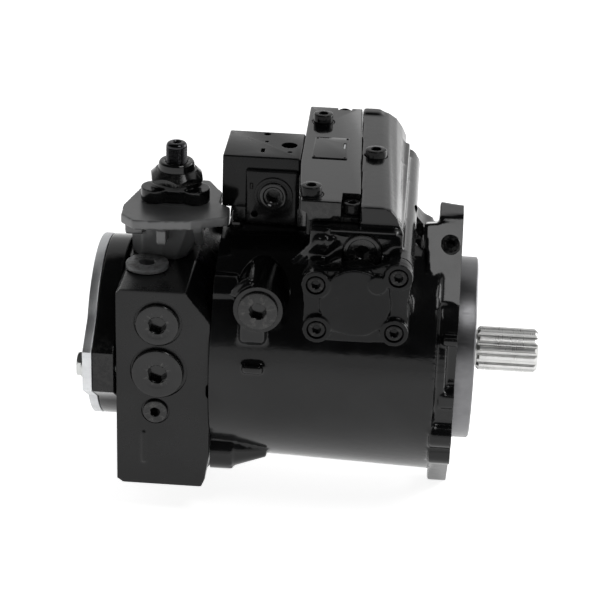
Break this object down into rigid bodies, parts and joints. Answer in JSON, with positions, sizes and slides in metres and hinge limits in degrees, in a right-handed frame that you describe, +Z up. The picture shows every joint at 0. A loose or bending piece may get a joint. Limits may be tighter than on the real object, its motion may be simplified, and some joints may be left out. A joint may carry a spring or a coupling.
{
  "type": "axial piston pump",
  "caption": "Swashplate axial piston pump with splined shaft, two-bolt mounting flange, transverse stroking cylinder, control module, relief valves and covered rear through drive.",
  "frame": {"origin": "middle of the bounding box in plan, on the level that the lower flange ear and the suction port stand on", "axes": "+X along the drive shaft towards its splined end, +Z up with the stroking cylinder and control module on top, +Y to the side of the work ports"},
  "size_m": [0.314, 0.2172, 0.2495],
  "materials": {
    "black_paint": "gloss black enamel over sand-cast iron, orange peel, edges rubbed to primer",
    "painted_fastener": "steel plugs and screws painted over with the castings, bare spots in the hexagons",
    "ground_steel": "ground and hobbed bare steel",
    "machined_steel": "machined steel with an oil film",
    "bronze": "bearing bronze",
    "cover_alloy": "milled plate",
    "zinc_steel": "zinc plated",
    "seal_rubber": "moulded nitrile"
  },
  "bodies": {
    "casing": {"control_block": "black_paint", "control_block_plug": "painted_fastener", "control_plate": "black_paint", "control_screw_1": "painted_fastener", "control_screw_2": "painted_fastener", "control_screw_3": "painted_fastener", "cover_screw_far_1": "painted_fastener", "cover_screw_far_2": "painted_fastener", "cover_screw_far_3": "painted_fastener", "cover_screw_far_4": "painted_fastener", "cover_screw_near_1": "painted_fastener", "cover_screw_near_2": "painted_fastener", "cover_screw_near_3": "painted_fastener", "cover_screw_near_4": "painted_fastener", "cradle_bearing_lower": "bronze", "cradle_bearing_upper": "bronze", "ear_plug": "painted_fastener", "flushing_plug": "painted_fastener", "front_bearing": "machined_steel", "gauge_plug": "painted_fastener", "lock_nut": "painted_fastener", "main_housing": "black_paint", "port_plate": "black_paint", "port_top_plug": "painted_fastener", "pressure_valve_body": "black_paint", "pressure_valve_cap": "black_paint", "rear_bearing": "machined_steel", "rear_bolt_far": "zinc_steel", "rear_bolt_near": "zinc_steel", "rear_cover_plate": "cover_alloy", "relief_valve_lower": "painted_fastener", "relief_valve_upper": "painted_fastener", "servo_cover_far": "black_paint", "servo_cover_near": "black_paint", "shaft_seal": "seal_rubber", "shoulder_screw": "painted_fastener", "spool_end_plug": "painted_fastener", "stroking_piston": "machined_steel", "swashplate": "machined_steel", "through_drive_flange": "black_paint", "tower_plug": "painted_fastener", "valve_plate": "bronze"},
    "rotating_group": {"drive_shaft": "ground_steel", "cylinder_block": "machined_steel", "piston_1": "machined_steel", "piston_2": "machined_steel", "piston_3": "machined_steel", "piston_4": "machined_steel", "piston_5": "machined_steel", "piston_6": "machined_steel", "piston_7": "machined_steel", "piston_8": "machined_steel", "piston_9": "machined_steel", "retaining_plate": "machined_steel", "boost_rotor": "machined_steel"},
    "boost_ring": {"boost_ring": "machined_steel"},
    "adjusting_spindle": {"adjusting_spindle": "painted_fastener"},
    "control_spool": {"control_spool": "ground_steel"},
    "relief_poppet_upper": {"relief_poppet_upper": "ground_steel"},
    "relief_poppet_lower": {"relief_poppet_lower": "ground_steel"}
  },
  "joints": [
    {"name": "shaft_spin", "type": "hinge", "parent": "casing", "child": "rotating_group", "pos_m": [0.099, 0, 0.1065], "axis": [1, 0, 0], "continuous": true},
    {"name": "boost_ring_spin", "type": "hinge", "parent": "casing", "child": "boost_ring", "pos_m": [-0.139, 0, 0.1091], "axis": [1, 0, 0], "continuous": true},
    {"name": "spindle_turn", "type": "hinge", "parent": "casing", "child": "adjusting_spindle", "pos_m": [-0.0985, 0.003, 0.2211], "axis": [0, 0, 1], "range_deg": [-180, 180]},
    {"name": "spool_slide", "type": "slide", "parent": "casing", "child": "control_spool", "axis": [0, 1, 0], "range_m": [-0.003, 0.003], "stiffness_N_per_m": 2000},
    {"name": "relief_upper_lift", "type": "slide", "parent": "casing", "child": "relief_poppet_upper", "axis": [0, -1, 0], "range_m": [0, 0.0018], "stiffness_N_per_m": 5000, "springref_m": -0.001},
    {"name": "relief_lower_lift", "type": "slide", "parent": "casing", "child": "relief_poppet_lower", "axis": [0, -1, 0], "range_m": [0, 0.0018], "stiffness_N_per_m": 5000, "springref_m": -0.001}
  ],
  "couplings": [
    {"joint": "boost_ring_spin", "follows": "shaft_spin", "ratio": 0.85714}
  ]
}
